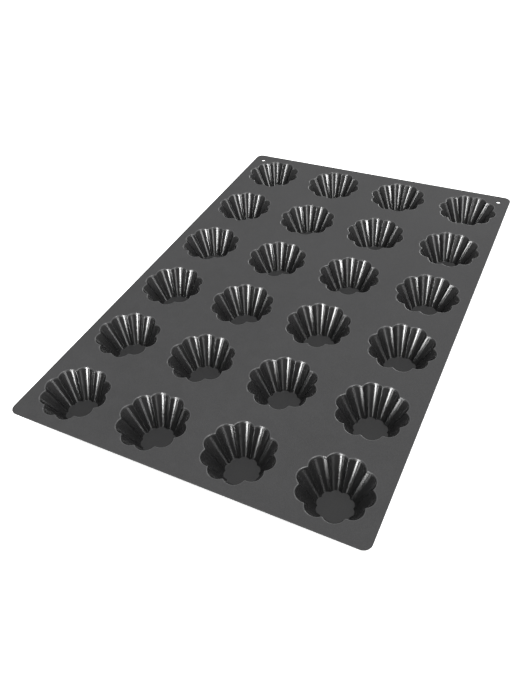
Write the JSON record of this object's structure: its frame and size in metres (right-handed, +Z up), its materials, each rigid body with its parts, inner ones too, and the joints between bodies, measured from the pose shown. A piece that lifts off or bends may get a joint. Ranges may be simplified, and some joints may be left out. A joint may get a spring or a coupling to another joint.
{
  "type": "silicone brioche mould",
  "caption": "Thin rectangular silicone sheet with a grid of tapered, fluted brioche cups hanging below it and hanging holes at one end.",
  "frame": {"origin": "middle of the footprint, on the surface that the floors of the cups stand on", "axes": "+Z up, out of the cups; +Y along the sheet's length, towards the end with the hanging holes; +X across the sheet"},
  "size_m": [0.4, 0.6, 0.036],
  "materials": {
    "satin_silicone": "matte",
    "glossy_silicone": "gloss"
  },
  "bodies": {
    "root": {"top_sheet": "satin_silicone", "cup_row1_column1": "glossy_silicone", "cup_row1_column2": "glossy_silicone", "cup_row1_column3": "glossy_silicone", "cup_row1_column4": "glossy_silicone", "cup_row2_column1": "glossy_silicone", "cup_row2_column2": "glossy_silicone", "cup_row2_column3": "glossy_silicone", "cup_row2_column4": "glossy_silicone", "cup_row3_column1": "glossy_silicone", "cup_row3_column2": "glossy_silicone", "cup_row3_column3": "glossy_silicone", "cup_row3_column4": "glossy_silicone", "cup_row4_column1": "glossy_silicone", "cup_row4_column2": "glossy_silicone", "cup_row4_column3": "glossy_silicone", "cup_row4_column4": "glossy_silicone", "cup_row5_column1": "glossy_silicone", "cup_row5_column2": "glossy_silicone", "cup_row5_column3": "glossy_silicone", "cup_row5_column4": "glossy_silicone", "cup_row6_column1": "glossy_silicone", "cup_row6_column2": "glossy_silicone", "cup_row6_column3": "glossy_silicone", "cup_row6_column4": "glossy_silicone"}
  },
  "joints": []
}
